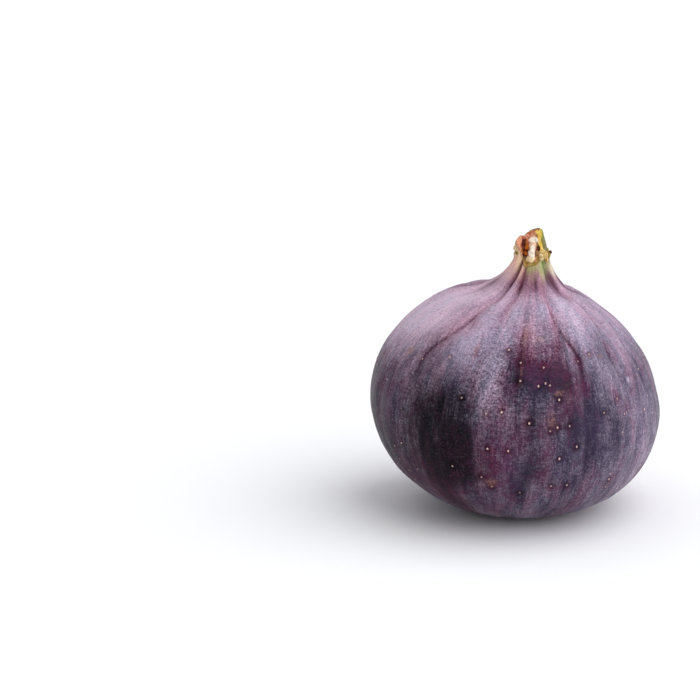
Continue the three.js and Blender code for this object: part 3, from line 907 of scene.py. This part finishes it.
def rough_material(name, roughness=0.7, size=0.0004, depth=0.0001, contrast=0.35):
    """A dry surface that takes its colour from the mesh's tint, broken up by fine grain."""
    material, shader = new_material(name)
    tree = material.node_tree
    place = tree.nodes.new("ShaderNodeTexCoord").outputs["Object"]
    fine = grain(tree, place, size, 4, 0.65)
    flecks = spread(tree, fine, 0.3, 0.7, 1 - contrast, 1 + 0.8 * contrast)
    tint = field(tree, "tint", "Color")
    tree.links.new(blend(tree, 1.0, tint, flecks, "MULTIPLY"), shader.inputs["Base Color"])
    shader.inputs["Roughness"].default_value = roughness
    shader.inputs["Specular IOR Level"].default_value = 0.15
    bump = node(tree, "ShaderNodeBump", {"Strength": 0.7, "Distance": depth, "Height": fine})
    tree.links.new(bump.outputs["Normal"], shader.inputs["Normal"])
    return material


def make_cut():
    """One closed crust: its face from the middle to the rim, the lip over the rim, and its underside."""
    bearing = np.arange(CUT_COLUMNS) * 360 / CUT_COLUMNS
    shares = np.linspace(0, 1, FACE_ROWS + 1)[1:]
    share, level = np.meshgrid(shares, bearing, indexing="ij")
    face, tint = cut_face(level, share)
    tint = paint(tint, rising(share, *LIP_COLOUR_RISE), lip_tint(level))
    lip = np.stack([lip_row(bearing, drop, out) for drop, out in LIP])
    plain = cut_points(level, share)
    under = (plain - CRUST_THICKNESS * normals_of(plain))[-UNDERSIDE_STEP::-UNDERSIDE_STEP]
    rows = np.concatenate([face, lip, under])[::-1]
    tints = np.concatenate([tint, np.broadcast_to(lip_tint(bearing), lip.shape), np.zeros_like(under)])[::-1]
    middle = CUT_MIDDLE + [0, 0, lumps(CUT_MIDDLE, CRUST_LUMPS)]
    points, faces = closed_skin(rows, CUT_MIDDLE - [0, 0, CRUST_THICKNESS], middle)
    tints = np.concatenate([[TAN], tints.reshape(-1, 3), [RED_CRUST]])
    material = rough_material("stalk_crust", roughness=0.62, depth=0.00006, contrast=0.22)
    make_piece("stalk_cut", points, faces, material, {"tint": tints})


make_cut()


# ---- The bract scars ----
# Small leaves sat on the stalk just under the cut. Where they broke off they leave torn, corky lumps: a pale
# yellow one in front on the right, a small one on the left, and a dark scar at the right edge.

STRAW = (0.72, 0.52, 0.2)
BRACTS = [  # bearing, height, half-width, half-height, thickness, colour
    (45, 51.4, 0.75, 1.15, 0.5, STRAW), (33, 50.8, 0.45, 0.7, 0.4, CREAM),
    (64, 51.2, 0.35, 0.8, 0.25, GOLD), (52, 50.3, 0.5, 0.6, 0.4, STRAW), (92, 51.2, 0.34, 0.36, 0.3, ROT),
    (86, 51.9, 0.4, 0.4, 0.25, GOLD), (-80, 51.9, 0.5, 0.5, 0.45, CREAM), (-66, 51.2, 0.4, 0.3, 0.25, GOLD),
    (165, 52, 0.9, 0.6, 0.35, GOLD), (215, 50.8, 0.6, 0.5, 0.4, CREAM),
]
BRACT_RAGGED = 0.45
BRACT_RINGS, BRACT_SIDES = 9, 28


def skin_frame(bearing, z):
    """Points on the skin, and the unit directions across it, up it and out of it, by small steps each way."""
    here = skin_points(bearing, share_at(z))
    across = unit(skin_points(bearing + 1, share_at(z)) - here)
    up = unit(skin_points(bearing, share_at(z + 0.2)) - here)
    return here, across, up, unit(np.cross(across, up))


PAD_SUNK = 0.3  # how deep a pad's edge lies in the skin, in thicknesses
PADS_APART = 3.7  # moves the pads' places in the noise apart


def pads(bearing, z, wide, high, thick, rings, sides, ragged):
    """Closed rounded pads on the skin, one for each bearing and height, as points and faces.

    A pad's upper side is a quarter-circle dome over an ellipse. Its last ring is sunk below the skin, and a
    point under the middle closes it. Smooth noise round the edge and over the top makes it ragged.
    """
    here, across, up, out = (v[:, None, None] for v in skin_frame(bearing, z))
    wide, high, thick = (np.asarray(v, float)[:, None, None] for v in (wide, high, thick))
    ring = np.linspace(0, 1, rings + 1)[1:][None, :, None]
    turned = (np.arange(sides) * 2 * np.pi / sides)[None, None, :]
    apart = PADS_APART * bearing[:, None, None]
    where = np.stack(np.broadcast_arrays(np.cos(turned), np.sin(turned), apart), axis=-1)
    edge = 1 + ragged * cloud(where, 0.55, 31)
    side, rise = wide * ring * edge * np.cos(turned), high * ring * edge * np.sin(turned)
    dome = thick * ((1 + PAD_SUNK) * np.sqrt(np.clip(1 - ring**2, 0, 1)) - PAD_SUNK)
    dome = dome * (1 + ragged * cloud(where * ring[..., None], 0.5, 32))
    points = here + across * side[..., None] + up * rise[..., None] + out * dome[..., None]
    depth = out * thick[..., None]
    each, faces = [], []
    for rows, bottom, top in zip(points[:, ::-1], (here - depth)[:, 0, 0], (here + depth)[:, 0, 0]):
        pad, parts = closed_skin(rows, bottom, top)
        faces += [part + len(each) * len(pad) for part in parts]
        each.append(pad)
    return np.array(each), faces


def make_bracts():
    """All the torn lumps in one piece, each blotched with gold."""
    *sizes, colours = (np.array(column) for column in zip(*BRACTS))
    points, faces = pads(*sizes, BRACT_RINGS, BRACT_SIDES, BRACT_RAGGED)
    tint = paint(colours[:, None], blotches(points, 0.45, 33, contrast=2, level=-0.5), GOLD)
    material = rough_material("torn_bract", size=0.0003)
    make_piece("bract_scars", points, faces, material, {"tint": tint})


make_bracts()


# ---- The eye ----
# Under the fruit, the opening into it is closed by small dry scales, thin as paper. They grow out of the skin
# in three rings, overlap, and point to the middle.

SCALE_RINGS = [(3.2, 8, 0, 0.45), (2.1, 6, 20, 0.4), (1.3, 4, 50, 0.3)]  # radius, how many, turn, drop
SCALE_LENGTH = 1.7
SCALE_WIDTH = 1.25
SCALE_BLUNT = 1.02  # over 1, for a blunt tip
SCALE_THICKNESS = 0.14
SCALE_NEAREST = 0.12  # how near a tip is to the middle
EDGE_DROP = 0.4  # a scale's edge hangs by this share of its middle's drop
EDGE_THICKNESS = 0.2
SCALE_GRID = 13
SCALE_RED = (0.24, 0.07, 0.05)
SCALE_TAN = (0.42, 0.24, 0.13)


def scale_sheet(radius, middle, drop, side):
    """One side of a scale, as a grid.

    A scale is a tongue as wide as the root of one minus the square of the way to its tip. It hangs below the
    dimple by the drop at its middle, and it thins out towards its edge.
    """
    way, across = np.meshgrid(np.linspace(0, 1, SCALE_GRID), np.linspace(-1, 1, SCALE_GRID), indexing="ij")
    wide = SCALE_WIDTH * np.sqrt(np.clip(SCALE_BLUNT - way**2, 0, 1)) * across
    inwards = np.maximum(radius - SCALE_LENGTH * way, SCALE_NEAREST)
    angle = np.radians(middle)
    x = inwards * np.sin(angle) + wide * np.cos(angle)
    y = -inwards * np.cos(angle) + wide * np.sin(angle)
    plump = (1 - across**2) * (1 - way**4)
    hang = drop * smooth(way * 3 + 0.2) * (EDGE_DROP + (1 - EDGE_DROP) * plump)
    hang = hang + side * SCALE_THICKNESS * (EDGE_THICKNESS + (1 - EDGE_THICKNESS) * plump)
    up = EYE_RISE * smooth(1 - np.hypot(x, y) / FOOT_INNER) - hang
    tint = paint(SCALE_RED, smooth(way * 1.4 - 0.3), SCALE_TAN)
    return np.stack([x, y, up], axis=-1), tint


def make_eye():
    """All the scales in one piece: a lower and an upper grid for each, joined by a band round their edges."""
    points, tints, faces = [], [], []
    at = np.arange(SCALE_GRID**2).reshape(SCALE_GRID, SCALE_GRID)
    lower = np.stack([at[:-1, :-1], at[:-1, 1:], at[1:, 1:], at[1:, :-1]], axis=-1).reshape(-1, 4)
    upper = lower[:, ::-1] + SCALE_GRID**2
    border = np.concatenate([at[0, :-1], at[:-1, -1], at[-1, :0:-1], at[:0:-1, 0]])
    after = np.roll(border, -1)
    rim = np.stack([after, border, border + SCALE_GRID**2, after + SCALE_GRID**2], axis=-1)
    each = np.concatenate([lower, upper, rim])
    for radius, count, turned, drop in SCALE_RINGS:
        for middle in turned + np.arange(count) * 360 / count:
            for side in (-1, 1):
                sheet, tint = scale_sheet(radius, middle, drop, side)
                points.append(sheet)
                tints.append(tint)
            faces.append(each + (len(points) - 2) * SCALE_GRID**2)
    material = rough_material("eye_scale", roughness=0.65)
    make_piece("eye_scales", np.array(points), faces, material, {"tint": np.array(tints)})


make_eye()


# ---- The pores ----
# Small pores of pale cork dot the skin, each a third of a millimetre wide and hardly raised. They grew in it,
# scattered from the foot to the shoulders; the largest ones at the front are listed.

SCATTERED_PORES = 190
SCATTER_BEARINGS = (34, 316)
SCATTER_HEIGHTS = (4, 43)
PORE_SIZES = (0.12, 0.23)  # half-widths
PORE_STRETCH = (0.9, 1.35)  # how much longer than wide
PORE_HEIGHT = 0.06
PORE_RAGGED = 0.3
PORE_RINGS, PORE_SIDES = 3, 10
PORE_PALE = (0.7, 0.5, 0.46)
PORE_EDGE = (0.24, 0.11, 0.09)
PORE_SHADES = (0.45, 1.05)


def make_pores():
    """Small pads at the listed places and at seeded random ones."""
    draw = np.random.default_rng(41)
    front = np.array(FRONT_PORES, float)
    spans = (SCATTER_BEARINGS, SCATTER_HEIGHTS)
    loose = np.stack([draw.uniform(*span, SCATTERED_PORES) for span in spans], axis=-1)
    bearing, z = np.concatenate([front, loose]).T
    size = draw.uniform(*PORE_SIZES, len(z))
    size[: len(front)] = PORE_SIZES[1]
    tall = size * draw.uniform(*PORE_STRETCH, len(z))
    thick = np.full(len(z), PORE_HEIGHT)
    points, faces = pads(bearing, z, size, tall, thick, PORE_RINGS, PORE_SIDES, PORE_RAGGED)
    tint = np.broadcast_to(PORE_PALE, points.shape).copy()
    tint[:, :1 + PORE_SIDES] = PORE_EDGE
    tint *= draw.uniform(*PORE_SHADES, (len(z), 1, 1))
    material = rough_material("pore_cork", size=0.0002, depth=0.00003, contrast=0.15)
    make_piece("lenticels", points, faces, material, {"tint": tint})


make_pores()
